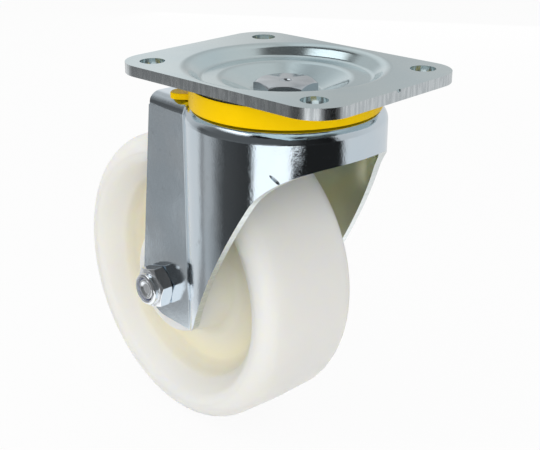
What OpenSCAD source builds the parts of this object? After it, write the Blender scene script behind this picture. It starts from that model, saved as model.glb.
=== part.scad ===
// Swivel castor: pressed top plate, double ball race swivel head, pressed fork, moulded wheel.
// The origin is the centre of the plate's upper face, on the swivel axis. +X is the direction
// of travel, and the wheel trails towards -X. All sizes are in millimetres.

/* [Top plate] */
// Length of the plate, along the direction of travel
plate_l = 104; // [98:1:140]
// Width of the plate, across the direction of travel
plate_w = 81; // [80:1:110]
// Thickness of the plate's sheet
plate_t = 4; // [3:0.5:5]
// Radius of the plate's corners
plate_corner_r = 13.5; // [6:0.5:16]
// Hole spacing along the direction of travel
hole_x = 80; // [78:0.5:90]
// Hole spacing across the direction of travel
hole_y = 60; // [59:0.5:66]
// Diameter of the four fixing holes
hole_d = 9.5; // [6:0.1:11]
// How far outside the dust ring the pressed dish starts
dish_lead = 0.8; // [0.5:0.1:2]
// Radial width of the dish's sloping wall
dish_wall = 5; // [4.5:0.5:6.5]
// Depth of the dish's ring floor below the plate's upper face
dish_depth = 4.3; // [3.5:0.1:6]
// Radius at which the bolt head's well starts
well_r = 24.5; // [23.5:0.5:25]
// Radius of the well's flat floor
well_floor_r = 13.5; // [13:0.5:14.5]
// Depth of the well's floor below the plate's upper face
well_depth = 9.6; // [8.8:0.1:10]

/* [Swivel head] */
// Diameter of the upper balls
upper_ball_d = 7.14; // [6.9:0.01:7.5]
// Number of upper balls
upper_ball_n = 20; // [12:1:20]
// Gap between the upper balls and the dust ring's foot
ring_ball_gap = 0.73; // [0.5:0.01:1]
// Depth of the tracks that hold the upper balls
upper_track_depth = 0.5; // [0.3:0.1:1]
// Diameter of the lower balls
lower_ball_d = 6.35; // [5:0.01:7]
// Number of lower balls
lower_ball_n = 17; // [12:1:17]
// Radius of the lower balls' circle
lower_track_r = 19; // [18.5:0.1:20]
// Depth of the tracks that hold the lower balls
lower_track_depth = 0.6; // [0.3:0.1:0.9]
// Clearance round each ball
ball_clear = 0.12; // [0.08:0.01:0.2]
// Outer radius of the neck on the lower race cup
neck_r = 12; // [10.5:0.5:12.5]
// Gap between the neck and the fork's crown
neck_gap = 2.5; // [1:0.1:3]
// Thickness of the lower race cup
cup_t = 4; // [3:0.5:5]
// Thickness of the cup's upturned lip
lip_t = 2; // [1.5:0.5:3]
// Running gap between the cup's lip and the crown
lip_gap = 0.8; // [0.5:0.1:1.2]
// Diameter of the king bolt
king_d = 14; // [12:0.5:14]
// Width across flats of the king bolt's head and nut
king_af = 21; // [20:0.5:22]
// Height of the king bolt's low head
king_head_h = 3.9; // [3:0.1:4.5]
// Direction of a corner of the king bolt's head, from the direction of travel
king_head_turn = 40; // [0:1:60]
// Height of the king nut
king_nut_h = 8; // [7:0.5:9]
// Thickness of the king nut's washer
king_washer_t = 2; // [1:0.5:2.5]
// Radius of the king nut's washer
king_washer_r = 14; // [13:0.5:15]

/* [Dust ring] */
// Outer radius of the dust ring
ring_r = 36.2; // [35.5:0.1:36.8]
// Wall thickness of the dust ring
ring_wall = 2; // [1.5:0.1:2.2]
// Width of the foot on which the ring stands
ring_foot = 4.5; // [4.2:0.1:4.8]
// Height of the foot
ring_foot_h = 1.6; // [1:0.1:2.2]
// Running gap between the ring and the plate
ring_gap = 0.5; // [0.3:0.1:0.9]
// Reach of the ring's tab beyond the ring
tab_l = 8; // [5:0.5:10]
// Width of the tab
tab_w = 8; // [7:0.5:10]
// Thickness of the tab
tab_t = 2.4; // [1.5:0.1:3]
// Direction of the tab on the fork, from the direction of travel
tab_turn = -143; // [-150:1:-138]

/* [Fork] */
// Swivel angle at which the fork stands at rest
swivel_rest = -4.8; // [-10:0.1:10]
// Thickness of the fork's sheet
sheet_t = 3; // [2.5:0.1:3.2]
// Width of the crown's ledge outside the dust ring, up to the round front skirt
crown_ledge = 2.1; // [1.5:0.1:3.5]
// Distance over the outer faces of the two legs
leg_span = 57; // [56.5:0.5:60]
// Outer bend radius at the fork's shoulders
shoulder_r = 5; // [4:0.1:6]
// Depth of the front skirt's lower edge below the plate's upper face
skirt_drop = 26.6; // [25:0.1:30]
// How far forward the front arch's corner lies
arch_x = 26.4; // [24:0.1:29]
// Radius of the front arch
arch_r = 32; // [26:0.5:36]
// How far forward the knee in the wing's free edge lies
wing_knee_x = 6; // [4:0.5:7]
// Depth of that knee below the plate's upper face
wing_knee_drop = 67.5; // [64:0.5:70]
// Radius of the knee
wing_knee_r = 60; // [30:1:70]
// How far the tip of the wing lies behind the swivel axis
wing_tip_x = 24.8; // [20:0.1:25]
// How far the legs reach below the axle
leg_below = 14; // [13:0.5:18]
// How far the legs reach behind the axle
leg_behind = 12; // [11:0.5:16]
// Radius of the legs' lower rear corner
leg_corner_r = 15; // [8:0.5:18]
// Radius of the crown's rear edge about the swivel axis
crown_back_r = 55; // [53:0.5:56]

/* [Axle] */
// Distance from the plate's upper face down to the axle
axle_drop = 95.8; // [94:0.1:100]
// Trail: distance of the axle behind the swivel axis
trail = 44.6; // [42:0.1:48]
// Diameter of the axle bolt
axle_d = 10; // [8.5:0.5:10]
// Outer diameter of the axle tube
tube_d = 14; // [13.5:0.5:15]
// Clearance of a bolt in its hole
bolt_clear = 0.2; // [0.1:0.05:0.3]
// Width across flats of the axle bolt's head and nut
axle_af = 16; // [15.5:0.5:17]
// Height of the axle bolt's head
axle_head_h = 6.4; // [5:0.1:7]
// Height of the axle's lock nut
axle_nut_h = 8.5; // [8:0.1:10]
// Direction of a corner of the axle's lock nut, up from the direction of travel
axle_nut_turn = 14; // [0:1:60]
// Thickness of the washer at each end of the hub
hub_washer_t = 1.2; // [0.8:0.1:1.6]
// Outer radius of the hub washers
hub_washer_r = 15; // [13:0.5:17]
// Running gap between a hub washer and the wheel's hub
hub_gap = 0.3; // [0.2:0.05:0.6]

/* [Wheel] */
// Diameter of the wheel
wheel_d = 125; // [116:1:128]
// Width of the wheel over its rims
wheel_w = 48.6; // [40:0.1:49]
// Fall of the crowned tread towards its edges
tread_fall = 0.7; // [0.4:0.1:1.5]
// Radius of the tread's edges
tread_edge_r = 7.5; // [5:0.5:9]
// Radius of the recess in each side of the wheel
recess_r = 45; // [43:0.5:46]
// Inner radius of the rim's side face
rim_face_r = 52; // [50:0.5:54]
// Rounding where the rim's side face turns in towards the recess
rim_face_round = 5.5; // [4:0.5:5.5]
// How far the recess's edge lies inside the rim's side face
rim_lean = 9; // [6:0.5:10]
// Rounding of the recess's edge
recess_edge_r = 4; // [2:0.5:5]
// Slope of the recess wall and the hub's wall, in degrees from the axle
mould_draft = 12; // [5:0.5:14]
// Thickness of the web between the two recesses
web_t = 16; // [12:0.5:20]
// Radius of the hub at its ends
hub_r = 22; // [18:0.5:24]
// Radius of the fillets at the web
web_fillet_r = 5; // [2:0.5:6]
// Radius of the hub's end edges
hub_edge_r = 1.5; // [0.5:0.5:3]

/* [Wheel bearing] */
// Diameter of the bearing rollers
roller_d = 4; // [3:0.1:4.5]
// Number of bearing rollers
roller_n = 9; // [6:1:9]
// Radial running clearance on each side of a roller
roller_clear = 0.05; // [0.02:0.01:0.1]
// Clearance of a roller in its cage
cage_clear = 0.12; // [0.08:0.01:0.2]
// Radial gap from the cage to the tube and to the hub
cage_gap = 0.7; // [0.5:0.05:0.9]
// Length of the cage beyond each end of the rollers
cage_end = 4; // [2:0.5:6]

/* [Hidden] */
$fn = 96;

cut = 1;
overlap = 0.2;
thread_clear = 0.05;
head_chamfer = 30;
hex_bevel = 0.2;
bolt_end_chamfer = 1;
tab_corner_r = 3.2;
knee_chords = 4;

// Radii that follow the dust ring
dish_r = ring_r + dish_lead;
skirt_r = ring_r + crown_ledge;
upper_track_r = ring_r - ring_foot - ring_ball_gap - upper_ball_d / 2;

// Levels of the swivel head, all measured down from the plate's upper face
floor_under_z = -dish_depth - plate_t;
well_under_z = -well_depth - plate_t;
crown_z = floor_under_z - (upper_ball_d - 2 * upper_track_depth);
upper_ball_z = (floor_under_z + crown_z) / 2;
crown_under_z = crown_z - sheet_t;
lower_ball_z = crown_under_z - lower_ball_d / 2 + lower_track_depth;
cup_z = lower_ball_z - lower_ball_d / 2 + lower_track_depth;
cup_under_z = cup_z - cup_t;
king_nut_z = cup_under_z - king_washer_t;
king_end_z = king_nut_z - king_nut_h - bolt_end_chamfer;
crown_hole_r = neck_r + neck_gap;
cup_r = lower_track_r + lower_ball_d / 2 + ball_clear + lip_t;

// The plate's underside lies one sheet below its upper face, measured square to each slope
dish_slope = atan(dish_depth / dish_wall);
well_slope = atan((well_depth - dish_depth) / (well_r - well_floor_r));
dish_shift = plate_t * tan(dish_slope / 2);
well_shift = plate_t * tan(well_slope / 2);
dish_rim_round = 6;
dish_floor_round = 3;
well_rim_round = 6;
well_floor_round = 2;
dish_under_r = dish_r + dish_shift;
dish_edge_r = dish_r + dish_rim_round * tan(dish_slope / 2) + overlap;

// Fork
leg_half = leg_span / 2;
leg_in = leg_half - sheet_t;
axle_z = -axle_drop;
leg_end_z = axle_z - leg_below;
leg_top_x = sqrt(crown_back_r * crown_back_r - leg_half * leg_half);

// Axle and wheel
hub_half = leg_in - hub_washer_t - hub_gap;
roller_track_r = tube_d / 2 + roller_clear + roller_d / 2;
hub_bore_r = roller_track_r + roller_d / 2 + roller_clear;
cage_l = 2 * hub_half - 2 * hub_gap;
roller_l = cage_l - 2 * cage_end;
wheel_r = wheel_d / 2;
rim_half = wheel_w / 2;
web_half = web_t / 2;
tread_half = rim_half - tread_edge_r;
crown_arc_r = (tread_half * tread_half + tread_fall * tread_fall) / (2 * tread_fall);

zinc = [0.80, 0.83, 0.84];
bright_zinc = [0.86, 0.88, 0.89];
steel = [0.70, 0.71, 0.73];
yellow = [0.90, 0.73, 0.02];
nylon = [0.93, 0.92, 0.87];
cage_black = [0.15, 0.15, 0.16];

// Closed outline through [x, y, r] corners, each corner rounded by a true arc of radius r
module rounded(corners) {
    n = len(corners);
    v = [for (c = corners) [c[0], c[1]]];
    r = [for (c = corners) len(c) > 2 ? c[2] : 0];
    before = [for (i = [0 : n - 1]) unit(v[(i + n - 1) % n] - v[i])];
    after = [for (i = [0 : n - 1]) unit(v[(i + 1) % n] - v[i])];
    inward = [for (i = [0 : n - 1]) unit(before[i] + after[i])];
    half = [for (i = [0 : n - 1]) acos(before[i] * after[i]) / 2];
    start = [for (i = [0 : n - 1]) v[i] + r[i] / tan(half[i]) * before[i]];
    end = [for (i = [0 : n - 1]) v[i] + r[i] / tan(half[i]) * after[i]];
    winding = sign(area(v));
    convex = [for (i = [0 : n - 1]) cross(-before[i], after[i]) * winding > 0];
    difference() {
        polygon([for (i = [0 : n - 1]) each r[i] > 0 && !convex[i] ? [start[i], end[i]] : [v[i]]]);
        for (i = [0 : n - 1]) if (r[i] > 0 && convex[i]) difference() {
            polygon([start[i], v[i] - overlap * inward[i], end[i]]);
            corner_circle(i);
        }
        for (i = [0 : n - 1]) if (r[i] > 0 && !convex[i]) intersection() {
            polygon([start[i], v[i], end[i], (start[i] + end[i]) / 2 + overlap * inward[i]]);
            corner_circle(i);
        }
    }
    module corner_circle(i) translate(v[i] + r[i] / sin(half[i]) * inward[i]) circle(r[i]);
}
function unit(p) = p / norm(p);

// Points of the arc of radius r that rounds the shallow corner v between a and b, in n chords
function shallow_arc(a, v, b, r, n) = let (
    p = unit(a - v),
    q = unit(b - v),
    half = acos(p * q) / 2,
    centre = v + r / sin(half) * unit(p + q),
    from = v + r / tan(half) * p - centre,
    to = v + r / tan(half) * q - centre)
    [for (i = [0 : n]) centre + r * unit((n - i) * from + i * to)];
function area(p) = let (n = len(p))
    [for (i = [0 : n - 1]) cross(p[i], p[(i + 1) % n])] * [for (i = [0 : n - 1]) 0.5];

// Placing of what turns with the fork, and of what lies along the axle with +Z to the nut's side
module on_fork() rotate([0, 0, swivel_rest]) children();
module on_axle() on_fork() translate([-trail, 0, axle_z]) rotate([90, 0, 0]) children();

// Ring of balls at one level
module ball_ring(n, ball_d, track_r, z)
    for (i = [0 : n - 1]) rotate([0, 0, 360 * i / n]) translate([track_r, 0, z]) sphere(d = ball_d);

// Groove in which a ring of balls runs
module ball_track(ball_d, track_r, z)
    rotate_extrude() translate([track_r, z]) circle(ball_d / 2 + ball_clear);

// Hexagon from z = 0 to z = h, with the corners of its upper end turned off
module hexagon(af, h) {
    corner_r = af / 2 / cos(30);
    flat_r = af / 2 - hex_bevel;
    outer_r = corner_r + cut;
    intersection() {
        cylinder(r = corner_r, h = h, $fn = 6);
        rotate_extrude() polygon([[0, 0], [outer_r, 0],
            [outer_r, h - (outer_r - flat_r) * tan(head_chamfer)], [flat_r, h], [0, h]]);
    }
}

module top_plate() color(zinc) difference() {
    union() {
        translate([0, 0, -plate_t]) linear_extrude(plate_t) difference() {
            x = plate_l / 2;
            y = plate_w / 2;
            r = plate_corner_r;
            rounded([[-x, -y, r], [x, -y, r], [x, y, r], [-x, y, r]]);
            circle(dish_edge_r);
        }
        rotate_extrude() rounded([
            [dish_edge_r, 0], [dish_r, 0, dish_rim_round],
            [dish_r - dish_wall, -dish_depth, dish_floor_round],
            [well_r, -dish_depth, well_rim_round],
            [well_floor_r, -well_depth, well_floor_round],
            [0, -well_depth], [0, well_under_z],
            [well_floor_r + well_shift, well_under_z, well_floor_round + plate_t],
            [well_r + well_shift, floor_under_z, well_rim_round - plate_t],
            [dish_r - dish_wall + dish_shift, floor_under_z, dish_floor_round + plate_t],
            [dish_under_r, -plate_t, dish_rim_round - plate_t],
            [dish_edge_r, -plate_t]]);
    }
    for (sx = [-1, 1], sy = [-1, 1])
        translate([sx * hole_x / 2, sy * hole_y / 2, -plate_t - cut]) cylinder(d = hole_d, h = plate_t + 2 * cut);
    translate([0, 0, well_under_z - cut]) cylinder(d = king_d + 2 * bolt_clear, h = plate_t + 2 * cut);
    ball_track(upper_ball_d, upper_track_r, upper_ball_z);
}

module king_bolt() color(bright_zinc) {
    dimple_r = 2.6;
    dimple_h = 1.2;
    dimple_ball_r = (dimple_r * dimple_r + dimple_h * dimple_h) / (2 * dimple_h);
    difference() {
        union() {
            translate([0, 0, -well_depth]) rotate([0, 0, king_head_turn]) hexagon(king_af, king_head_h);
            rotate_extrude() polygon([[0, king_end_z], [king_d / 2 - bolt_end_chamfer, king_end_z],
                [king_d / 2, king_end_z + bolt_end_chamfer], [king_d / 2, -well_depth + cut],
                [0, -well_depth + cut]]);
        }
        translate([0, 0, -well_depth + king_head_h + dimple_ball_r - dimple_h]) sphere(dimple_ball_r);
    }
}

module race_cup() color(steel) difference() {
    rotate_extrude() rounded([
        [king_d / 2 + bolt_clear, cup_under_z], [cup_r, cup_under_z, cup_t],
        [cup_r, crown_under_z - lip_gap, lip_t / 3], [cup_r - lip_t, crown_under_z - lip_gap, lip_t / 3],
        [cup_r - lip_t, cup_z], [neck_r, cup_z], [neck_r, well_under_z],
        [king_d / 2 + bolt_clear, well_under_z]]);
    ball_track(lower_ball_d, lower_track_r, lower_ball_z);
}

module king_washer() color(zinc) translate([0, 0, king_nut_z]) difference() {
    cylinder(r = king_washer_r, h = king_washer_t);
    translate([0, 0, -cut]) cylinder(d = king_d + 2 * bolt_clear, h = king_washer_t + 2 * cut);
}

// Lock nut standing on z = 0, with its round collar and the pocket for the nylon ring. The shares
// are of the nut's height for lengths and of its width across flats for radii.
collar_share = 0.32;
crimp_share = 0.06;
collar_r_share = 0.42;
insert_r_share = 0.38;
module lock_nut(bolt_d, af, h) difference() {
    collar_r = af * collar_r_share;
    insert_r = af * insert_r_share;
    insert_z = h * (1 - collar_share);
    crimp = h * crimp_share;
    union() {
        hexagon(af, insert_z);
        rotate_extrude() rounded([[0, 0], [collar_r, 0], [collar_r, h, 2 * crimp], [0, h]]);
    }
    translate([0, 0, -cut]) cylinder(d = bolt_d + 2 * thread_clear, h = h + 2 * cut);
    translate([0, 0, insert_z]) cylinder(r = insert_r, h = h - crimp - insert_z);
    translate([0, 0, insert_z]) cylinder(r = insert_r - crimp, h = h + cut - insert_z);
}
module lock_nut_insert(bolt_d, af, h) translate([0, 0, h * (1 - collar_share)]) difference() {
    height = h * (collar_share - crimp_share);
    cylinder(r = af * insert_r_share - thread_clear, h = height - thread_clear);
    translate([0, 0, -cut]) cylinder(d = bolt_d + 2 * thread_clear, h = height + 2 * cut);
}

module on_king_nut() translate([0, 0, king_nut_z]) rotate([180, 0, 0]) children();
module king_nut() color(bright_zinc) on_king_nut() lock_nut(king_d, king_af, king_nut_h);
module king_nut_insert() color(nylon) on_king_nut() lock_nut_insert(king_d, king_af, king_nut_h);

module upper_balls() color(steel) ball_ring(upper_ball_n, upper_ball_d, upper_track_r, upper_ball_z);
module lower_balls() color(steel) ball_ring(lower_ball_n, lower_ball_d, lower_track_r, lower_ball_z);

// Solid form of the fork before it is hollowed: a round front and a straight rear with one
// rounded shoulder, set in by inset on every side
module fork_form(inset, low_z) {
    round_r = shoulder_r - inset;
    top = crown_z - inset;
    rotate_extrude() rounded([[0, low_z], [skirt_r - inset, low_z], [skirt_r - inset, top, round_r], [0, top]]);
    y = leg_half - inset;
    rotate([90, 0, -90]) linear_extrude(2 * crown_back_r)
        rounded([[-y, low_z], [y, low_z], [y, top, round_r], [-y, top, round_r]]);
}

// Side view of the sheet that is left after blanking
module fork_side() {
    front_x = skirt_r + arch_r;
    axle_back_x = -trail - leg_behind;
    lean = (axle_back_x + leg_top_x) / (axle_z - crown_z);
    corner_x = axle_back_x + lean * (leg_end_z - axle_z);
    top_x = axle_back_x + lean * (cut - axle_z);
    arch = [arch_x, -skirt_drop];
    knee = [wing_knee_x, -wing_knee_drop];
    tip = [-wing_tip_x, leg_end_z];
    rounded([[front_x, cut], [front_x, -skirt_drop], [arch.x, arch.y, arch_r],
             each shallow_arc(arch, knee, tip, wing_knee_r, knee_chords), tip,
             [corner_x, leg_end_z, leg_corner_r], [top_x, cut]]);
}

module fork() color(bright_zinc) on_fork() difference() {
    intersection() {
        difference() {
            fork_form(0, leg_end_z - cut);
            fork_form(sheet_t, leg_end_z - 2 * cut);
        }
        rotate([90, 0, 0]) linear_extrude(2 * (skirt_r + cut), center = true) fork_side();
    }
    translate([0, 0, crown_z - shoulder_r]) linear_extrude(shoulder_r + cut) difference() {
        translate([-3 * crown_back_r, -2 * crown_back_r]) square([3 * crown_back_r, 4 * crown_back_r]);
        circle(crown_back_r);
    }
    translate([0, 0, crown_under_z - cut]) cylinder(r = crown_hole_r, h = sheet_t + 2 * cut);
    ball_track(upper_ball_d, upper_track_r, upper_ball_z);
    ball_track(lower_ball_d, lower_track_r, lower_ball_z);
    translate([-trail, 0, axle_z]) rotate([90, 0, 0])
        cylinder(d = axle_d + 2 * bolt_clear, h = leg_span + 2 * cut, center = true);
}

module dust_ring() color(yellow) on_fork() {
    slope = tan(dish_slope);
    under_z = -plate_t - (dish_under_r - ring_r) * slope - ring_gap;
    rotate_extrude() polygon([
        [ring_r - ring_foot, crown_z], [ring_r, crown_z], [ring_r, under_z],
        [ring_r - ring_wall, under_z - ring_wall * slope],
        [ring_r - ring_wall, crown_z + ring_foot_h], [ring_r - ring_foot, crown_z + ring_foot_h]]);
    rotate([0, 0, tab_turn]) translate([ring_r - ring_wall / 2, 0, crown_z]) linear_extrude(tab_t)
        rounded([[0, -tab_w / 2], [tab_l + ring_wall / 2, -tab_w / 2, tab_corner_r],
                 [tab_l + ring_wall / 2, tab_w / 2, tab_corner_r], [0, tab_w / 2]]);
}

module axle_bolt() color(bright_zinc) on_axle() {
    end = leg_half + axle_nut_h * (1 - crimp_share);
    translate([0, 0, -leg_half]) rotate([180, 0, 0]) hexagon(axle_af, axle_head_h);
    rotate_extrude() polygon([[0, -leg_half - cut], [axle_d / 2, -leg_half - cut],
        [axle_d / 2, end - bolt_end_chamfer], [axle_d / 2 - bolt_end_chamfer, end], [0, end]]);
}
module on_axle_nut() on_axle() translate([0, 0, leg_half]) rotate([0, 0, axle_nut_turn]) children();
module axle_nut() color(bright_zinc) on_axle_nut() lock_nut(axle_d, axle_af, axle_nut_h);
module axle_nut_insert() color(nylon) on_axle_nut() lock_nut_insert(axle_d, axle_af, axle_nut_h);

module axle_tube() color(steel) on_axle() difference() {
    cylinder(d = tube_d, h = 2 * leg_in, center = true);
    cylinder(d = axle_d + 2 * bolt_clear, h = 2 * leg_in + 2 * cut, center = true);
}

module hub_washer() translate([0, 0, leg_in - hub_washer_t]) difference() {
    cylinder(r = hub_washer_r, h = hub_washer_t);
    translate([0, 0, -cut]) cylinder(d = tube_d + 2 * bolt_clear, h = hub_washer_t + 2 * cut);
}
module hub_washer_left() color(zinc) on_axle() rotate([180, 0, 0]) hub_washer();
module hub_washer_right() color(zinc) on_axle() hub_washer();

module roller_cage() color(cage_black) on_axle() difference() {
    cylinder(r = hub_bore_r - cage_gap, h = cage_l, center = true);
    cylinder(r = tube_d / 2 + cage_gap, h = cage_l + 2 * cut, center = true);
    roller_ring(cage_clear);
}
module roller_ring(clear)
    for (i = [0 : roller_n - 1]) rotate([0, 0, 360 * i / roller_n]) translate([roller_track_r, 0, 0])
        cylinder(r = roller_d / 2 + clear, h = roller_l + 2 * clear, center = true);
module bearing_rollers() color(steel) on_axle() roller_ring(0);

// One side of the wheel's section, from the hub's end to the edge of the tread
function wheel_side(s) = [
    [hub_bore_r, s * hub_half],
    [hub_r, s * hub_half, hub_edge_r],
    [hub_r + (hub_half - web_half) * tan(mould_draft), s * web_half, web_fillet_r],
    [recess_r - (rim_half - rim_lean - web_half) * tan(mould_draft), s * web_half, web_fillet_r],
    [recess_r, s * (rim_half - rim_lean), recess_edge_r],
    [rim_face_r, s * rim_half, rim_face_round],
    [wheel_r - tread_fall, s * rim_half, tread_edge_r]];

module wheel() color(nylon) on_axle() rotate_extrude() {
    rounded(concat(wheel_side(-1), [for (i = [len(wheel_side(1)) - 1 : -1 : 0]) wheel_side(1)[i]]));
    intersection() {
        translate([wheel_r - crown_arc_r, 0]) circle(crown_arc_r);
        translate([wheel_r - tread_edge_r, -tread_half]) square([tread_edge_r + cut, 2 * tread_half]);
    }
}

top_plate();
king_bolt();
race_cup();
king_washer();
king_nut();
king_nut_insert();
upper_balls();
lower_balls();
fork();
dust_ring();
axle_bolt();
axle_nut();
axle_nut_insert();
axle_tube();
hub_washer_left();
hub_washer_right();
roller_cage();
bearing_rollers();
wheel();
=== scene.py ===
"""Swivel castor: its plate, fork, dust ring, wheel and fastenings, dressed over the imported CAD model.

Shapes are built in millimetres in the CAD frame and scaled to metres when a piece is finished.
"""
import math

import bmesh
import bpy
from mathutils import Matrix, Vector


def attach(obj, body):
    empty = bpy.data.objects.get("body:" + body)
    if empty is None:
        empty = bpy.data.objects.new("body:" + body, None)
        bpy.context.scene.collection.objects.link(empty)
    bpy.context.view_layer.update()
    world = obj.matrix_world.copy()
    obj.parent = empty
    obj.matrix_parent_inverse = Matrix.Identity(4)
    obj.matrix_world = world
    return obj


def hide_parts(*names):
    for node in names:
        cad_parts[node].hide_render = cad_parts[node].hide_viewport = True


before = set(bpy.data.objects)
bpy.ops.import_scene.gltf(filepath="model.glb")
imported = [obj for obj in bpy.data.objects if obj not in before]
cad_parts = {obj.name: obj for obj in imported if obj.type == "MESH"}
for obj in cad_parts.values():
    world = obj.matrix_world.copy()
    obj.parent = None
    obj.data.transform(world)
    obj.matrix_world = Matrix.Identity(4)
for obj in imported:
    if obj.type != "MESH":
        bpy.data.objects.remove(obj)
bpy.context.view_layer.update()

MM = 0.001
SWIVEL_REST = math.radians(-4.8)
SMALL_STEPS, MEDIUM_STEPS, STEPS, LARGE_STEPS = 64, 96, 160, 192
HEAD_CHAMFER, CHAMFER_IN = math.radians(30), 0.2
BOLT_CLEAR, THREAD_CLEAR, BOLT_END_CHAMFER = 0.2, 0.05, 1

# Plate
PLATE_L, PLATE_W, PLATE_T, PLATE_CORNER = 104, 81, 4, 13.5
HOLE_X, HOLE_Y, HOLE_R = 80, 60, 4.75
DISH_R, DISH_WALL, DISH_DEPTH = 37, 5, 4.3
WELL_R, WELL_FLOOR_R, WELL_DEPTH = 24.5, 13.5, 9.6
DISH_RIM_ROUND, DISH_FOOT_ROUND, WELL_RIM_ROUND, WELL_FOOT_ROUND = 6, 3, 6, 2
EDGE_BAND = 1.6
NICK_R, NICK_AT = 1.2, (PLATE_L / 2 + 0.5, -0.4, 0.1)

# King bolt
KING_AF, KING_HEAD_H, KING_TURN, KING_R = 21, 3.9, math.radians(40), 7
KING_END_Z = -37.59
DIMPLE_R, DIMPLE_RISE = 3.4, 2.2

# Fork
CROWN_Z, SHEET = -14.44, 3
SKIRT_R, LEG_HALF, SHOULDER_R = 38.3, 28.5, 5
SKIRT_DROP, ARCH_X, ARCH_R = 26.6, 26.4, 32
KNEE_X, KNEE_DROP, KNEE_R = -15, 103.5, 14
TIP_X, CROWN_BACK_R, CROWN_HOLE_R, CREASE_R = 24.8, 55, 14.5, 2
LEG_BELOW, LEG_BEHIND, LEG_CORNER_R = 14, 12, 15
CROWN_FLAT_X, PAST_FORK = -20, 60
DENT_AT, DENT_ALONG, DENT_SIZE = (25.6, -28.6, -31.5), (2.5, 2.2, -3.0), (2.5, 0.8, 0.6, 1)

# Dust ring
RING_R, RING_WALL, RING_FOOT, RING_FOOT_H = 36.2, 2, 4.5, 1.6
RING_TOP_OUT, RING_TOP_IN = -6.46, -8.18
TAB_L, TAB_W, TAB_T, TAB_TURN, TAB_CORNER_R = 8, 8, 2.4, math.radians(-143), 3.2

# Axle and wheel
AXLE_DROP, TRAIL, AXLE_R = 95.8, 44.6, 5
AXLE_AF, AXLE_HEAD_H, AXLE_NUT_H, AXLE_NUT_TURN = 16, 6.4, 8.5, math.radians(14)
COLLAR_R, COLLAR_ROUND, INSERT_R, CRIMP, CRIMP_ROUND = 6.72, 1.2, 6.08, 0.51, 0.3
NUT_HEX_H = AXLE_NUT_H * 0.68
AXLE_END = LEG_HALF + AXLE_NUT_H - CRIMP
END_DISH_R, END_DISH_FLOOR_R, END_DISH_DEPTH = 3.3, 2.3, 0.8
WHEEL_R, RIM_HALF, TREAD_FALL, TREAD_EDGE_R = 62.5, 24.3, 0.7, 7.5
RIM_FACE_R, RIM_FACE_ROUND, RECESS_R, RIM_LEAN, RECESS_EDGE_R = 52, 5.5, 45, 9, 4
WEB_HALF, HUB_R, HUB_HALF, HUB_BORE_R, WEB_FILLET_R, HUB_EDGE_R = 8, 22, 24, 11.1, 5, 1.5
MOULD_DRAFT = math.radians(12)

FLOOR_Z = -(AXLE_DROP + WHEEL_R)

ON_FORK = Matrix.Rotation(SWIVEL_REST, 4, "Z")
ON_AXLE = ON_FORK @ Matrix.Translation((-TRAIL, 0, -AXLE_DROP)) @ Matrix.Rotation(math.pi / 2, 4, "X")


# Shapes

def bevel(bm, edges, width, segments):
    bmesh.ops.bevel(bm, geom=edges, offset=width, offset_type="OFFSET", segments=segments, profile=0.5,
                    affect="EDGES", material=-1, clamp_overlap=False)


def arc_width(before, corner, after, radius):
    """Bevel width that rounds the corner between two neighbours to a radius."""
    turn = (corner - before).angle(after - corner)
    return radius * math.tan(turn / 2)


def corners_of(geometry):
    return [v for v in geometry if isinstance(v, bmesh.types.BMVert)]


def turned(profile, closed=True, steps=STEPS):
    """Turns a [radius, height, rounding, segments] outline about Z.

    An open outline makes a skin, or a solid where it ends on the axis.
    """
    bm = bmesh.new()
    points = [Vector((p[0], 0, p[1])) for p in profile]
    ring = [bm.verts.new(p) for p in points]
    pairs = list(zip(ring, ring[1:])) + ([(ring[-1], ring[0])] if closed else [])
    wire = [bm.edges.new(pair) for pair in pairs]
    bmesh.ops.spin(bm, geom=ring + wire, axis=(0, 0, 1), cent=(0, 0, 0), dvec=(0, 0, 0),
                   angle=2 * math.pi, steps=steps, use_merge=True, use_duplicate=False)
    bmesh.ops.remove_doubles(bm, verts=bm.verts, dist=1e-4)
    bmesh.ops.dissolve_degenerate(bm, edges=bm.edges, dist=1e-4)
    bmesh.ops.recalc_face_normals(bm, faces=bm.faces)
    loops = []
    for i, corner in enumerate(profile):
        if len(corner) > 2:
            at = [e for e in bm.edges if all(abs(math.hypot(v.co.x, v.co.y) - corner[0]) < 1e-3
                                             and abs(v.co.z - corner[1]) < 1e-3 for v in e.verts)]
            width = arc_width(points[i - 1], points[i], points[(i + 1) % len(points)], corner[2])
            loops.append((at, width, corner[3]))
    for at, width, segments in loops:
        bevel(bm, at, width, segments)
    return bm


def prism(outline, low, high):
    """Upright prism on an [x, y, rounding, segments] outline."""
    bm = bmesh.new()
    points = [Vector((p[0], p[1], low)) for p in outline]
    base = bm.faces.new([bm.verts.new(p) for p in points])
    top = bmesh.ops.extrude_face_region(bm, geom=[base])["geom"]
    bmesh.ops.translate(bm, verts=corners_of(top), vec=(0, 0, high - low))
    bmesh.ops.recalc_face_normals(bm, faces=bm.faces)
    upright = {(round(e.verts[0].co.x, 4), round(e.verts[0].co.y, 4)): e for e in bm.edges
               if abs(e.verts[0].co.z - e.verts[1].co.z) > 0.5 * (high - low)}
    corners = []
    for i, corner in enumerate(outline):
        if len(corner) > 2:
            width = arc_width(points[i - 1], points[i], points[(i + 1) % len(points)], corner[2])
            corners.append((upright[(round(corner[0], 4), round(corner[1], 4))], width, corner[3]))
    for edge, width, segments in corners:
        bevel(bm, [edge], width, segments)
    return bm


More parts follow.
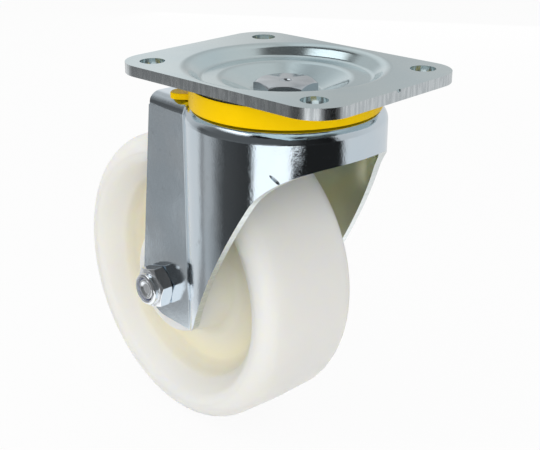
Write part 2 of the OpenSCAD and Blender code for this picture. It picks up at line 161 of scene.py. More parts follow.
def hexagon(across, low, high, chamfered):
    """Hexagonal prism whose named ends have their corners turned off."""
    corner = across / 2 / math.cos(math.pi / 6)
    bm = bmesh.new()
    middle = Matrix.Translation((0, 0, (low + high) / 2))
    bmesh.ops.create_cone(bm, cap_ends=True, segments=6, radius1=corner, radius2=corner, depth=high - low,
                          matrix=middle @ Matrix.Rotation(math.pi / 6, 4, "Z"))
    flat, wide = across / 2 - CHAMFER_IN, corner + 1
    fall = (wide - flat) * math.tan(HEAD_CHAMFER)
    low_edge = [[flat, low], [wide, low + fall]] if "low" in chamfered else [[wide, low - 1]]
    high_edge = [[wide, high - fall], [flat, high]] if "high" in chamfered else [[wide, high + 1]]
    profile = [[0, low_edge[0][1]]] + low_edge + high_edge + [[0, high_edge[-1][1]]]
    return carved(bm, turned(profile, closed=False, steps=MEDIUM_STEPS), "INTERSECT")


def shape_object(bm, name):
    mesh = bpy.data.meshes.new(name)
    bm.to_mesh(mesh)
    bm.free()
    piece = bpy.data.objects.new(name, mesh)
    bpy.context.scene.collection.objects.link(piece)
    return piece


def carved(bm, tool, operation):
    """One shape cut by, joined to or kept inside another."""
    work, cutter = shape_object(bm, "work"), shape_object(tool, "cutter")
    step = work.modifiers.new("carve", "BOOLEAN")
    step.object, step.operation, step.solver = cutter, operation, "EXACT"
    result = bmesh.new()
    result.from_object(work, bpy.context.evaluated_depsgraph_get())
    for old in (work, cutter):
        mesh = old.data
        bpy.data.objects.remove(old)
        bpy.data.meshes.remove(mesh)
    bmesh.ops.remove_doubles(result, verts=result.verts, dist=1e-4)
    bmesh.ops.dissolve_degenerate(result, edges=result.edges, dist=1e-4)
    return result


def joined(bm, *others):
    """Separate shells kept in one piece."""
    for other in others:
        mesh = bpy.data.meshes.new("shell")
        other.to_mesh(mesh)
        other.free()
        bm.from_mesh(mesh)
        bpy.data.meshes.remove(mesh)
    return bm


def finished(bm, name, body, finish, replaces, place=Matrix.Identity(4), edge=0.3, edge_angle=50):
    """Places a shape, rounds its sharp edges, gives it its finish and body, and hides the CAD nodes it
    replaces.
    """
    bmesh.ops.transform(bm, matrix=Matrix.Scale(MM, 4) @ place, verts=bm.verts)
    for face in bm.faces:
        face.smooth = True
    piece = shape_object(bm, name)
    piece.data.materials.append(finish.material)
    soften = piece.modifiers.new("edges", "BEVEL")
    soften.width, soften.segments, soften.profile = edge * MM, 3, 0.5
    soften.limit_method, soften.angle_limit = "ANGLE", math.radians(edge_angle)
    soften.miter_outer = "MITER_ARC"
    even = piece.modifiers.new("normals", "WEIGHTED_NORMAL")
    even.weight, even.keep_sharp = 60, False
    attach(piece, body)
    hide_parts(*replaces)
    return piece


# Finishes

class Wire:
    """A socket whose arithmetic adds Math nodes."""

    def __init__(self, tree, socket):
        self.tree, self.socket = tree, socket

    def maths(self, operation, *values):
        return self.tree.add("ShaderNodeMath", {"operation": operation}, dict(enumerate(values)))

    def __add__(self, other):
        return self.maths("ADD", self, other)

    def __radd__(self, other):
        return self.maths("ADD", other, self)

    def __sub__(self, other):
        return self.maths("SUBTRACT", self, other)

    def __rsub__(self, other):
        return self.maths("SUBTRACT", other, self)

    def __mul__(self, other):
        return self.maths("MULTIPLY", self, other)

    def __rmul__(self, other):
        return self.maths("MULTIPLY", other, self)

    def __truediv__(self, other):
        return self.maths("DIVIDE", self, other)

    def __pow__(self, other):
        return self.maths("POWER", self, other)


class Nodes:
    """A node tree with one method that adds any node."""

    def __init__(self, tree):
        self.tree = tree

    def add(self, kind, settings=None, inputs=None, out=0):
        node = self.tree.nodes.new(kind)
        for key, value in (settings or {}).items():
            if key == "stops":
                for spare in list(node.color_ramp.elements)[2:]:
                    node.color_ramp.elements.remove(spare)
                for i, (position, colour) in enumerate(value):
                    stop = node.color_ramp.elements[i] if i < 2 else node.color_ramp.elements.new(position)
                    stop.position, stop.color = position, colour
            else:
                setattr(node, key, value)
        for key, value in (inputs or {}).items():
            self.feed(node.inputs[key], value)
        return Wire(self, node.outputs[out])

    def feed(self, socket, value):
        if isinstance(value, Wire):
            self.tree.links.new(value.socket, socket)
        elif value is not None:
            socket.default_value = value

    def mix(self, amount, a, b):
        return self.add("ShaderNodeMix", {"data_type": "RGBA"}, {0: amount, 6: a, 7: b}, out=2)

    def ramp(self, value, *stops):
        """Number that follows [position, height] stops."""
        grey = [(p, (h, h, h, 1)) for p, h in stops]
        return self.add("ShaderNodeValToRGB", {"stops": grey}, {0: value})

    def span(self, value, low, high, to_low=0.0, to_high=1.0):
        return self.add("ShaderNodeMapRange", {"interpolation_type": "SMOOTHSTEP"},
                        {0: value, 1: low, 2: high, 3: to_low, 4: to_high})

    def split(self, vector):
        node = self.add("ShaderNodeSeparateXYZ", None, {0: vector})
        return [Wire(self, s) for s in node.socket.node.outputs]

    def ray_kind(self, *kinds):
        """1 for rays of any of the kinds."""
        path = self.add("ShaderNodeLightPath").socket.node
        rays = [Wire(self, path.outputs["Is " + kind + " Ray"]) for kind in kinds]
        while len(rays) > 1:
            rays = [rays[0].maths("MAXIMUM", rays[0], rays[1])] + rays[2:]
        return rays[0]

    def compass(self, vector, *stops):
        """Number that follows [degrees, height] stops round the upright axis."""
        x, y = self.split(vector)[:2]
        turn = x.maths("ARCTAN2", y, x) / (2 * math.pi) + 0.5
        return self.ramp(turn, *[((degrees + 180) / 360, height) for degrees, height in stops])


class Finish(Nodes):
    """A procedural material on Object coordinates."""

    def __init__(self, name, **fixed):
        self.material = bpy.data.materials.new(name)
        self.material.use_nodes = True
        super().__init__(self.material.node_tree)
        self.shader = self.tree.nodes["Principled BSDF"]
        for key, value in fixed.items():
            self.shader.inputs[key.replace("_", " ")].default_value = value
        self.point = self.add("ShaderNodeTexCoord", out=3)

    def set(self, **varying):
        for key, value in varying.items():
            self.feed(self.shader.inputs[key.replace("_", " ")], value)

    def placed(self, location=(0, 0, 0), rotation=(0, 0, 0), scale=(1, 1, 1)):
        return self.add("ShaderNodeMapping", None,
                        {"Vector": self.point, "Location": location, "Rotation": rotation, "Scale": scale})

    def noise(self, scale, detail=3.0, roughness=0.55, vector=None):
        return self.add("ShaderNodeTexNoise", None, {"Vector": vector or self.point, "Scale": scale,
                                                     "Detail": detail, "Roughness": roughness})

    def bump(self, height, strength, distance):
        return self.add("ShaderNodeBump", None,
                        {"Height": height, "Strength": strength, "Distance": distance})


def satin_zinc():
    f = Finish("satin_zinc", Metallic=0.86)
    rolled = f.noise(60, 4, vector=f.placed(scale=(1, 14, 14)))
    cloud = f.span(f.noise(22, 3), 0.35, 0.65)
    tint = f.mix(cloud, (0.49, 0.60, 0.635, 1), (0.55, 0.64, 0.655, 1))
    speck = f.span(f.noise(900, 2), 0.64, 0.76) * 0.3
    f.set(Base_Color=f.mix(speck, tint, (0.42, 0.45, 0.46, 1)),
          Roughness=f.span(rolled, 0.3, 0.7, 0.12, 0.17),
          Normal=f.bump(f.noise(1400, 2) * 0.4 + f.noise(160, 2), 0.2, 0.00004))
    return f


def sheared_edge():
    """Cut edge of the plate: drawn down its thickness by the shear, in upright streaks."""
    f = Finish("sheared_edge", Metallic=1.0)
    streak = f.noise(900, 3, vector=f.placed(scale=(1, 1, 0.12)))
    f.set(Base_Color=f.mix(f.span(streak, 0.4, 0.62), (0.52, 0.56, 0.58, 1), (0.64, 0.68, 0.70, 1)),
          Roughness=f.span(streak, 0.35, 0.65, 0.3, 0.2),
          Normal=f.bump(streak, 0.12, 0.00012))
    return f


def cut_sheet():
    """Cut edge of the fork's sheet, drawn across its thickness."""
    f = Finish("cut_sheet", Metallic=1.0)
    streak = f.noise(1100, 3, vector=f.placed(scale=(1, 0.15, 1)))
    f.set(Base_Color=f.mix(f.span(streak, 0.38, 0.62), (0.62, 0.66, 0.65, 1), (0.70, 0.74, 0.74, 1)),
          Roughness=f.span(streak, 0.35, 0.65, 0.36, 0.28),
          Normal=f.bump(streak, 0.1, 0.0001))
    return f


def bright_zinc(name, cool=(0.625, 0.715, 0.785, 1), pale=(0.66, 0.73, 0.785, 1), haze=0.0):
    """Bright plating: peel in the mirror, soft waves from the press, dull smudges and any haze."""
    f = Finish(name, Metallic=1.0)
    cloud = f.noise(35, 3)
    peel = f.noise(1150, 3, 0.7)
    wave = f.noise(90, 2)
    smudge = f.span(f.noise(120, 4), 0.62, 0.78) * 0.3
    tint = f.mix(f.span(cloud, 0.35, 0.65), cool, pale)
    f.set(Base_Color=f.mix(smudge, tint, (0.40, 0.43, 0.45, 1)),
          Roughness=f.span(cloud, 0.3, 0.7, 0.04 + haze, 0.08 + haze),
          Normal=f.bump(peel * 0.28 + wave, 0.7, 0.00016))
    return f


def plated_bolt(name, dull, clear):
    f = Finish(name, Metallic=0.9)
    worn = f.noise(220, 3)
    f.set(Base_Color=f.mix(worn, dull, clear),
          Roughness=f.span(worn, 0.3, 0.7, 0.08, 0.16),
          Normal=f.bump(f.noise(1200, 2), 0.4, 0.00002))
    return f


def bearing_steel():
    f = Finish("bearing_steel", Metallic=1.0)
    ground = f.noise(500, 3)
    f.set(Base_Color=f.mix(ground, (0.42, 0.43, 0.45, 1), (0.56, 0.57, 0.58, 1)),
          Roughness=f.span(ground, 0.3, 0.7, 0.2, 0.32))
    return f


def yellow_plastic():
    f = Finish("yellow_plastic", Specular_IOR_Level=0.05)
    grain = f.noise(700, 2)
    cloud = f.span(f.noise(45, 3), 0.35, 0.65)
    f.set(Base_Color=f.mix(cloud, (0.93, 0.59, 0.0, 1), (0.97, 0.625, 0.002, 1)),
          Roughness=f.span(f.noise(150, 3), 0.3, 0.7, 0.26, 0.34),
          Normal=f.bump(grain, 0.3, 0.00002))
    return f


def white_nylon():
    """Natural nylon. Its recess is painted lighter and yellower: painted light that stands in for the glow
    through the thin web and lifts the shade in the recess.
    """
    f = Finish("white_nylon", Subsurface_Weight=0.8, Subsurface_Scale=0.018,
               Subsurface_Radius=(1.0, 0.85, 0.5))
    cloud = f.noise(30, 3)
    to_wheel = ON_AXLE.inverted()
    x, y, z = f.split(f.placed(to_wheel.translation * MM, to_wheel.to_euler()))
    from_axle = (x * x + y * y) ** 0.5 * 10
    # Painted light: the recess, masked by depth and radius, takes the lighter, yellower colour below,
    # standing in for light through the thin web and lifting its shade.
    deep = f.span(z.maths("ABSOLUTE", z), 0.023, 0.013)
    recess_painted_glow = f.ramp(from_axle, [0.2, 0.35], [0.3, 0.55], [0.38, 1.0], [0.42, 0.75], [0.47, 0.0]) * deep
    white = f.mix(cloud, (0.755, 0.75, 0.725, 1), (0.775, 0.77, 0.75, 1))
    f.set(Base_Color=f.mix(recess_painted_glow, white, (0.85, 0.81, 0.62, 1)),
          Roughness=f.span(f.noise(160, 3), 0.3, 0.7, 0.38, 0.48),
          Normal=f.bump(f.noise(420, 2), 0.3, 0.00003))
    return f


def black_plastic():
    f = Finish("black_plastic", Roughness=0.5)
    f.set(Base_Color=f.mix(f.noise(300, 2), (0.02, 0.02, 0.02, 1), (0.04, 0.04, 0.042, 1)))
    return f


ZINC, SHEARED, BRIGHT, CUT = satin_zinc(), sheared_edge(), bright_zinc("bright_zinc"), cut_sheet()
# Painted reflection: the legs' inner faces get a paler, greener plating colour that stands in for the cream
# wheel they mirror.
INSIDE_PAINTED_REFLECTION = bright_zinc("inner_zinc_painted_reflection", (0.78, 0.86, 0.74, 1), (0.82, 0.88, 0.78, 1), 0.16)
BOLT = plated_bolt("plated_bolt", (0.66, 0.70, 0.74, 1), (0.76, 0.78, 0.80, 1))
KING = plated_bolt("king_bolt_zinc", (0.41, 0.46, 0.50, 1), (0.52, 0.56, 0.59, 1))
STEEL, YELLOW, NYLON, BLACK = bearing_steel(), yellow_plastic(), white_nylon(), black_plastic()


# Pieces

def plate_skin(flat_r):
    """Flat sheet round the dish: a band at its edge and a collar at each hole keep the corners clean."""
    bm = bmesh.new()
    x, y = PLATE_L / 2, PLATE_W / 2
    corners = [bm.verts.new((sx * x, sy * y, 0)) for sx, sy in ((-1, -1), (1, -1), (1, 1), (-1, 1))]
    bm.faces.new(corners)
    bmesh.ops.bevel(bm, geom=corners, offset=PLATE_CORNER, offset_type="OFFSET", segments=14, profile=0.5,
                    affect="VERTICES", material=-1, clamp_overlap=False)
    middle = bm.faces[:]
    bmesh.ops.inset_region(bm, faces=middle, thickness=EDGE_BAND, use_even_offset=True)
    bmesh.ops.delete(bm, geom=middle, context="FACES_ONLY")
    for sx in (-1, 1):
        for sy in (-1, 1):
            centre = Vector((sx * HOLE_X / 2, sy * HOLE_Y / 2, 0))
            rim = bmesh.ops.create_circle(bm, segments=48, radius=HOLE_R,
                                          matrix=Matrix.Translation(centre))["verts"]
            edges = list({e for v in rim for e in v.link_edges})
            collar = bmesh.ops.extrude_edge_only(bm, edges=edges)["geom"]
            bmesh.ops.scale(bm, verts=corners_of(collar), vec=[(HOLE_R + EDGE_BAND) / HOLE_R] * 3,
                            space=Matrix.Translation(-centre))
    bmesh.ops.create_circle(bm, segments=STEPS, radius=flat_r)
    open_edges = [e for e in bm.edges
                  if len(e.link_faces) == 0 or (len(e.link_faces) == 1 and not rim_edge(e))]
    bmesh.ops.triangle_fill(bm, use_beauty=True, use_dissolve=False, edges=open_edges, normal=(0, 0, 1))
    return bm


def rim_edge(edge):
    """Whether an edge of the flat sheet is its outside or a hole."""
    spot = (edge.verts[0].co + edge.verts[1].co) / 2
    to_hole = math.hypot(abs(spot.x) - HOLE_X / 2, abs(spot.y) - HOLE_Y / 2)
    corner_x, corner_y = PLATE_L / 2 - PLATE_CORNER, PLATE_W / 2 - PLATE_CORNER
    out = math.hypot(max(abs(spot.x) - corner_x, 0), max(abs(spot.y) - corner_y, 0)) - PLATE_CORNER
    return out > -0.5 or to_hole < HOLE_R + 0.5


def top_plate():
    """Pressed sheet: the flat skin, the turned dish, and the sheet's thickness below both."""
    slope = math.atan2(DISH_DEPTH, DISH_WALL)
    flat_left = 0.2
    flat_r = DISH_R + DISH_RIM_ROUND * math.tan(slope / 2) + flat_left
    bm = plate_skin(flat_r)
    dish = turned([[flat_r, 0], [DISH_R, 0, DISH_RIM_ROUND, 8],
                   [DISH_R - DISH_WALL, -DISH_DEPTH, DISH_FOOT_ROUND, 6],
                   [WELL_R, -DISH_DEPTH, WELL_RIM_ROUND, 8], [WELL_FLOOR_R, -WELL_DEPTH, WELL_FOOT_ROUND, 6],
                   [KING_R + BOLT_CLEAR, -WELL_DEPTH]], closed=False)
    joined(bm, dish)
    bmesh.ops.remove_doubles(bm, verts=bm.verts, dist=0.02)
    bmesh.ops.recalc_face_normals(bm, faces=bm.faces)
    flat = next(f for f in bm.faces if abs(f.calc_center_median().z) < 1e-6)
    if flat.normal.z < 0:
        bmesh.ops.reverse_faces(bm, faces=bm.faces)
    bmesh.ops.solidify(bm, geom=bm.faces[:], thickness=PLATE_T)
    bmesh.ops.recalc_face_normals(bm, faces=bm.faces)
    for face in bm.faces:
        middle = face.calc_center_median()
        side = max(abs(middle.x) - PLATE_L / 2, abs(middle.y) - PLATE_W / 2)
        if abs(face.normal.z) < 0.2 and side > -PLATE_CORNER / 3:
            face.material_index = 1
    nick = bmesh.new()
    bmesh.ops.create_uvsphere(nick, u_segments=16, v_segments=12, radius=NICK_R,
                              matrix=Matrix.Translation(NICK_AT))
    bm = carved(bm, nick, "DIFFERENCE")
    plate = finished(bm, "plate", "mounting", ZINC, ["top_plate"], edge=0.6, edge_angle=60)
    plate.data.materials.append(SHEARED.material)
    return plate


def king_bolt():
    top_z, inside_z = -WELL_DEPTH + KING_HEAD_H, -WELL_DEPTH + 1
    head = hexagon(KING_AF, -WELL_DEPTH, top_z, ["high"])
    bmesh.ops.rotate(head, verts=head.verts, cent=(0, 0, 0), matrix=Matrix.Rotation(KING_TURN, 3, "Z"))
    dimple = bmesh.new()
    bmesh.ops.create_uvsphere(dimple, u_segments=48, v_segments=32, radius=DIMPLE_R,
                              matrix=Matrix.Translation((0, 0, top_z + DIMPLE_RISE)))
    head = carved(head, dimple, "DIFFERENCE")
    shank = turned([[0, KING_END_Z], [KING_R - BOLT_END_CHAMFER, KING_END_Z],
                    [KING_R, KING_END_Z + BOLT_END_CHAMFER], [KING_R, inside_z], [0, inside_z]],
                   closed=False, steps=SMALL_STEPS)
    return finished(joined(head, shank), "king_bolt_turned", "mounting", KING, ["king_bolt"],
                    edge=0.2)


def fork_form(inset, low):
    """Round front and straight rear, creased between them, with one rounded shoulder, all set in."""
    r, y, top = SKIRT_R - inset, LEG_HALF - inset, CROWN_Z - inset
    crease_r = CREASE_R + inset
    centre_x = -math.sqrt((r + crease_r) ** 2 - (y + crease_r) ** 2)
    turn = math.atan2(-centre_x, y + crease_r)
    back_x = -2 * CROWN_BACK_R
    bm = bmesh.new()
    ends = [bm.verts.new((centre_x, -y, top))]
    rim = ends[:]
    bends = (((centre_x, -y - crease_r, top), -turn, 8), ((0, 0, top), math.pi + 2 * turn, 132),
             ((centre_x, y + crease_r, top), -turn, 8))
    for centre, angle, steps in bends:
        known = set(bm.verts)
        ends = bmesh.ops.spin(bm, geom=ends, axis=(0, 0, 1), cent=centre, dvec=(0, 0, 0), angle=angle,
                              steps=steps)["geom_last"]
        rim += [v for v in bm.verts if v not in known]
    rim = [bm.verts.new((back_x, -y, top))] + rim + [bm.verts.new((back_x, y, top))]
    crown = bm.faces.new(rim)
    down = bmesh.ops.extrude_face_region(bm, geom=[crown])["geom"]
    bmesh.ops.translate(bm, verts=corners_of(down), vec=(0, 0, low - top))
    bmesh.ops.recalc_face_normals(bm, faces=bm.faces)
    shoulder = [e for e in bm.edges if all(abs(v.co.z - top) < 1e-3 for v in e.verts)
                and not all(v.co.x < back_x + 1 for v in e.verts)]
    bevel(bm, shoulder, SHOULDER_R - inset, 10)
    return bm


def fork_side():
    """Side view of the sheet, as a prism across the fork."""
    axle_z, end_z = -AXLE_DROP, -AXLE_DROP - LEG_BELOW
    back_x = -TRAIL - LEG_BEHIND
    lean = (back_x + math.sqrt(CROWN_BACK_R ** 2 - LEG_HALF ** 2)) / (axle_z - CROWN_Z)
    front_x = SKIRT_R + ARCH_R
    outline = [[front_x, 1], [front_x, -SKIRT_DROP], [ARCH_X, -SKIRT_DROP, ARCH_R, 28],
               [KNEE_X, -KNEE_DROP, KNEE_R, 8], [-TIP_X, end_z],
               [back_x + lean * (end_z - axle_z), end_z, LEG_CORNER_R, 14],
               [back_x + lean * (1 - axle_z), 1]]
    side = prism(outline, -SKIRT_R - 1, SKIRT_R + 1)
    bmesh.ops.rotate(side, verts=side.verts, cent=(0, 0, 0), matrix=Matrix.Rotation(math.pi / 2, 3, "X"))
    return side


def round_bar(radius, low, high, steps=SMALL_STEPS):
    return turned([[0, low], [radius, low], [radius, high], [0, high]], closed=False, steps=steps)


def fork():
    low = -AXLE_DROP - LEG_BELOW
    sheet = carved(fork_form(0, low - 1), fork_form(SHEET, low - 2), "DIFFERENCE")
    sheet = carved(sheet, fork_side(), "INTERSECT")
    past_x, bend_z = -3 * CROWN_BACK_R, CROWN_Z - SHOULDER_R
    behind = prism([[past_x, -PAST_FORK], [CROWN_FLAT_X, -PAST_FORK], [CROWN_FLAT_X, PAST_FORK],
                    [past_x, PAST_FORK]], bend_z, CROWN_Z + 1)
    behind = carved(behind, round_bar(CROWN_BACK_R, bend_z - 1, CROWN_Z + 2, LARGE_STEPS), "DIFFERENCE")
    sheet = carved(sheet, behind, "DIFFERENCE")
    sheet = carved(sheet, round_bar(CROWN_HOLE_R, CROWN_Z - SHEET - 1, CROWN_Z + 1), "DIFFERENCE")
    axle = round_bar(AXLE_R + BOLT_CLEAR, -PAST_FORK, PAST_FORK)
    bmesh.ops.transform(axle, matrix=Matrix.Translation((-TRAIL, 0, -AXLE_DROP))
                        @ Matrix.Rotation(math.pi / 2, 4, "X"), verts=axle.verts)
    sheet = carved(sheet, axle, "DIFFERENCE")
    dent = bmesh.new()
    along = Vector(DENT_ALONG).to_track_quat("X", "Z").to_matrix().to_4x4()
    bmesh.ops.create_uvsphere(dent, u_segments=24, v_segments=16, radius=1,
                              matrix=Matrix.Translation(DENT_AT) @ along @ Matrix.Diagonal(DENT_SIZE))
    sheet = carved(sheet, dent, "DIFFERENCE")
    for face in sheet.faces:
        middle = face.calc_center_median()
        lies_low = middle.z < CROWN_Z - SHEET - 1
        if lies_low and abs(face.normal.y) < 0.02 and (face.normal.z < -0.03 or face.normal.x < -0.5):
            face.material_index = 1
        # Faces turned in towards the wheel take the plating with the painted reflection of the wheel.
        elif lies_low and face.normal.to_2d().dot(Vector((max(middle.x, 0), middle.y))) < -1:
            face.material_index = 2
    piece = finished(sheet, "pressed_fork", "fork", BRIGHT, ["fork"], ON_FORK, edge=0.45,
                     edge_angle=60)
    piece.data.materials.append(CUT.material)
    piece.data.materials.append(INSIDE_PAINTED_REFLECTION.material)
    return piece


def dust_ring():
    ring = turned([[RING_R - RING_FOOT, CROWN_Z], [RING_R, CROWN_Z], [RING_R, RING_TOP_OUT],
                   [RING_R - RING_WALL, RING_TOP_IN], [RING_R - RING_WALL, CROWN_Z + RING_FOOT_H],
                   [RING_R - RING_FOOT, CROWN_Z + RING_FOOT_H]])
    reach = RING_R - RING_WALL / 2
    tab = prism([[reach, -TAB_W / 2], [RING_R + TAB_L, -TAB_W / 2, TAB_CORNER_R, 8],
                 [RING_R + TAB_L, TAB_W / 2, TAB_CORNER_R, 8], [reach, TAB_W / 2]], CROWN_Z, CROWN_Z + TAB_T)
    bmesh.ops.rotate(tab, verts=tab.verts, cent=(0, 0, 0), matrix=Matrix.Rotation(TAB_TURN, 3, "Z"))
    return finished(joined(ring, tab), "yellow_dust_ring", "fork", YELLOW, ["dust_ring"],
                    ON_FORK, edge=0.35)


def wheel():
    draft = math.tan(MOULD_DRAFT)
    side = [[HUB_BORE_R, HUB_HALF], [HUB_R, HUB_HALF, HUB_EDGE_R, 4],
            [HUB_R + (HUB_HALF - WEB_HALF) * draft, WEB_HALF, WEB_FILLET_R, 8],
            [RECESS_R - (RIM_HALF - RIM_LEAN - WEB_HALF) * draft, WEB_HALF, WEB_FILLET_R, 8],
            [RECESS_R, RIM_HALF - RIM_LEAN, RECESS_EDGE_R, 8],
            [RIM_FACE_R, RIM_HALF, RIM_FACE_ROUND, 10],
            [WHEEL_R - TREAD_FALL, RIM_HALF, TREAD_EDGE_R, 14]]
    crown = [[WHEEL_R, 0]]
    far = [[p[0], -p[1]] + p[2:] for p in side]
    bm = turned(far + crown + side[::-1], steps=LARGE_STEPS)
    return finished(bm, "nylon_wheel", "wheel", NYLON, ["wheel"], ON_AXLE, edge=0.3)


def axle_nut():
    hexes = hexagon(AXLE_AF, 0, NUT_HEX_H, ["low", "high"])
    bmesh.ops.rotate(hexes, verts=hexes.verts, cent=(0, 0, 0), matrix=Matrix.Rotation(AXLE_NUT_TURN, 3, "Z"))
    lip_r = INSERT_R - CRIMP
    collar = turned([[0, 1], [COLLAR_R, 1], [COLLAR_R, AXLE_NUT_H, COLLAR_ROUND, 6],
                     [lip_r, AXLE_NUT_H, CRIMP_ROUND, 3], [lip_r, 2], [0, 2]],
                    closed=False, steps=MEDIUM_STEPS)
    nut = carved(hexes, collar, "UNION")
    nut = carved(nut, round_bar(AXLE_R + THREAD_CLEAR, -1, AXLE_NUT_H + 1), "DIFFERENCE")
    seat = Matrix.Translation((0, 0, LEG_HALF))
    return finished(nut, "lock_nut", "fork", BOLT, ["axle_nut"], ON_AXLE @ seat, edge=0.2)


def axle_bolt():
    head = hexagon(AXLE_AF, -LEG_HALF - AXLE_HEAD_H, -LEG_HALF, ["low"])
    inside_z, dish_z = -LEG_HALF - 1, AXLE_END - END_DISH_DEPTH
    shank = turned([[0, inside_z], [AXLE_R, inside_z], [AXLE_R, AXLE_END - BOLT_END_CHAMFER],
                    [AXLE_R - BOLT_END_CHAMFER, AXLE_END, 0.4, 3], [END_DISH_R, AXLE_END, 0.5, 3],
                    [END_DISH_FLOOR_R, dish_z, 0.8, 4], [0, dish_z]], closed=False, steps=SMALL_STEPS)
    return finished(joined(head, shank), "axle_bolt_turned", "fork", BOLT, ["axle_bolt"],
                    ON_AXLE, edge=0.2)


for make in (top_plate, king_bolt, fork, dust_ring, wheel, axle_nut, axle_bolt):
    make()

CAD_FINISH = {"race_cup": STEEL, "king_washer": ZINC, "king_nut": BOLT, "king_nut_insert": NYLON,
              "upper_balls": STEEL, "lower_balls": STEEL, "axle_nut_insert": NYLON,
              "axle_tube": STEEL, "hub_washer_left": ZINC, "hub_washer_right": ZINC, "roller_cage": BLACK,
              "bearing_rollers": STEEL}
for node, finish in CAD_FINISH.items():
    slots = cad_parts[node].data.materials
    slots.clear()
    slots.append(finish.material)


# Studio

def room():
    """White to the camera. Bright metal sees a softbox and a dark band overhead, and panels all round."""
    world = bpy.data.worlds.new("room")
    bpy.context.scene.world = world
    world.use_nodes = True
    world.cycles.sampling_method = "NONE"
    w = Nodes(world.node_tree)
    toward = w.add("ShaderNodeTexCoord", out=0)
    x, y, z = w.split(toward)
    front_right = [[-112, 0.12], [-80, 0.11], [-40, 0.09], [-26, 0.02], [8, 0.01], [14, 0.64], [60, 0.74],
                   [100, 0.76], [118, 0.7], [130, 0.54], [139, 0.9], [146, 0.85], [156, 0.6], [180, 0.62]]
    low = w.compass(toward, [-180, 0.62], [-164, 0.5], [-154, 0.1], [-136, 0.13], *front_right)
    high = w.compass(toward, [-180, 0.62], [-165, 0.5], [-152, 0.2], [-135, 0.14], *front_right)
    panels = low + (high - low) * w.span(z, 0.2, 0.3)
    band = w.span(z, 0.62, 0.74) * (1 - w.span(y, 0.12, 0.28))
    softbox = w.span(-0.17 - x * 0.19 - y, 0, 0.05) * w.span(z, 0.6, 0.82) * (1 - w.span(x, -0.2, -0.05))
    softbox_light, ambient = 1.9, 0.68
    mirrored = panels * (1 - band) * (1 - softbox) + softbox_light * softbox
    seen, glossy = w.ray_kind("Camera", "Transmission"), w.ray_kind("Glossy")
    light = seen + (1 - seen) * (glossy * mirrored + (1 - glossy) * ambient)
    background = w.tree.nodes["Background"]
    w.feed(background.inputs["Color"], light)
    background.inputs["Strength"].default_value = 1


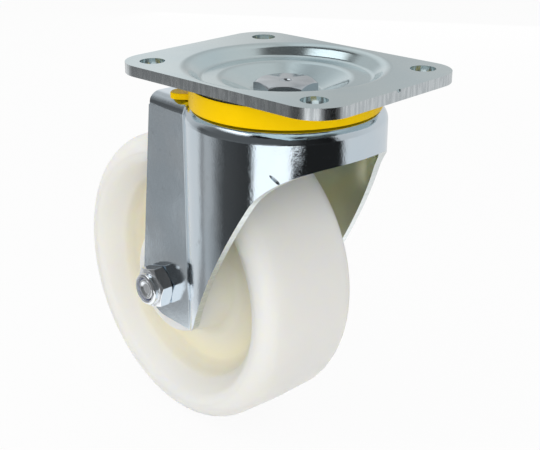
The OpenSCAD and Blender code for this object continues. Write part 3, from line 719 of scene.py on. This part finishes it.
def paper_floor():
    """Pale paper that keeps a soft shadow, lifted to white for the camera. Metal sees it lit in sectors."""
    grid = bmesh.new()
    bmesh.ops.create_grid(grid, x_segments=1, y_segments=1, size=3,
                          matrix=Matrix.Translation((0, 0, FLOOR_Z * MM)))
    floor = shape_object(grid, "floor")
    p = Finish("floor_paper", Roughness=0.9)
    p.set(Base_Color=p.mix(p.noise(8, 2), (0.66, 0.66, 0.66, 1), (0.69, 0.69, 0.69, 1)))
    p.material.cycles.emission_sampling = "NONE"
    x, y = p.split(p.point)[:2]
    away = (x * x + y * y) ** 0.5
    left = [[-180, 0.56], [-160, 0.54], [-155, 0.42], [-152, 0.25], [-147, 0.24], [-144, 0.36],
            [-136, 0.34], [-127, 0.18], [-118, 0.06]]
    right = [[20, 0.56], [100, 0.55], [130, 0.5], [180, 0.58]]
    wander = 0.09
    ragged = p.add("ShaderNodeTexNoise", None, {"Vector": p.point, "Scale": 14.0, "Detail": 3.0}, out=1)
    drift = p.add("ShaderNodeVectorMath", {"operation": "MULTIPLY_ADD"},
                  {0: ragged, 1: (wander,) * 3, 2: (-wander / 2,) * 3})
    edges = p.add("ShaderNodeVectorMath", {"operation": "ADD"}, {0: p.point, 1: drift})
    inner = p.compass(edges, *left, [-84, 0.03], [-80, 1.0], [-42, 1.0], [-38, 0.012], [14, 0.012], *right)
    outer = p.compass(edges, *left, [-84, 0.03], [-80, 1.0], [-34, 1.0], [-30, 0.012], [14, 0.012], *right)
    distant = p.compass(edges, [-180, 0.55], [-160, 0.4], [-152, 0.1], [-112, 0.1], [-84, 0.09], [-78, 0.2],
                        [-56, 0.2], [-50, 0.02], [14, 0.012], *right)
    sectors = inner + (outer - inner) * p.span(away, 0.475, 0.49)
    sectors = sectors + (distant - sectors) * p.span(away, 0.62, 0.7)
    near = p.span(away, 0.085, 0.172)
    sectors = 1 - near + sectors * near
    white = p.add("ShaderNodeEmission", None, {"Color": (1, 1, 1, 1)})
    mirrored = p.add("ShaderNodeEmission", None, {"Color": sectors, "Strength": 1.4})
    paper = Wire(p, p.shader.outputs[0])
    lift = p.ray_kind("Camera", "Transmission") * 0.94
    lifted = p.add("ShaderNodeMixShader", None, {0: lift, 1: paper, 2: white})
    surface = p.add("ShaderNodeMixShader", None, {0: p.ray_kind("Glossy"), 1: lifted, 2: mirrored})
    p.feed(p.tree.nodes["Material Output"].inputs["Surface"], surface)
    floor.data.materials.append(p.material)


def lamp(name, place, target, size, power):
    light = bpy.data.lights.new(name, "AREA")
    light.shape, light.size, light.energy = "DISK", size, power
    piece = bpy.data.objects.new(name, light)
    piece.location = place
    piece.rotation_euler = (Vector(target) - Vector(place)).to_track_quat("-Z", "Y").to_euler()
    piece.visible_glossy = False
    bpy.context.scene.collection.objects.link(piece)


def photo_view():
    view = bpy.data.cameras.new("photo_view")
    view.lens, view.sensor_width, view.sensor_fit = 69.0, 36, "HORIZONTAL"
    view.clip_start = 0.01
    camera = bpy.data.objects.new("photo_view", view)
    azimuth, elevation, roll = math.radians(43.34), math.radians(22.08), math.radians(-0.09)
    camera.location = (0.2529, -0.2767, 0.0884)
    camera.rotation_euler = (math.pi / 2 - elevation, roll, azimuth)
    bpy.context.scene.collection.objects.link(camera)
    bpy.context.scene.camera = camera


bpy.context.scene.view_settings.view_transform = "Standard"
room()
paper_floor()
lamp("overhead", (0.05, -0.25, 0.9), (0, 0, -0.08), 0.9, 2.7)
lamp("front_fill", (0.55, -0.62, 0.15), (0, 0, -0.06), 0.8, 3.3)
lamp("left_fill", (-0.7, -0.6, 0.3), (-0.02, 0, -0.08), 0.7, 1.3)
lamp("back_fill", (-0.5, 0.75, 0.0), (-0.02, 0, -0.08), 0.7, 1.6)
photo_view()
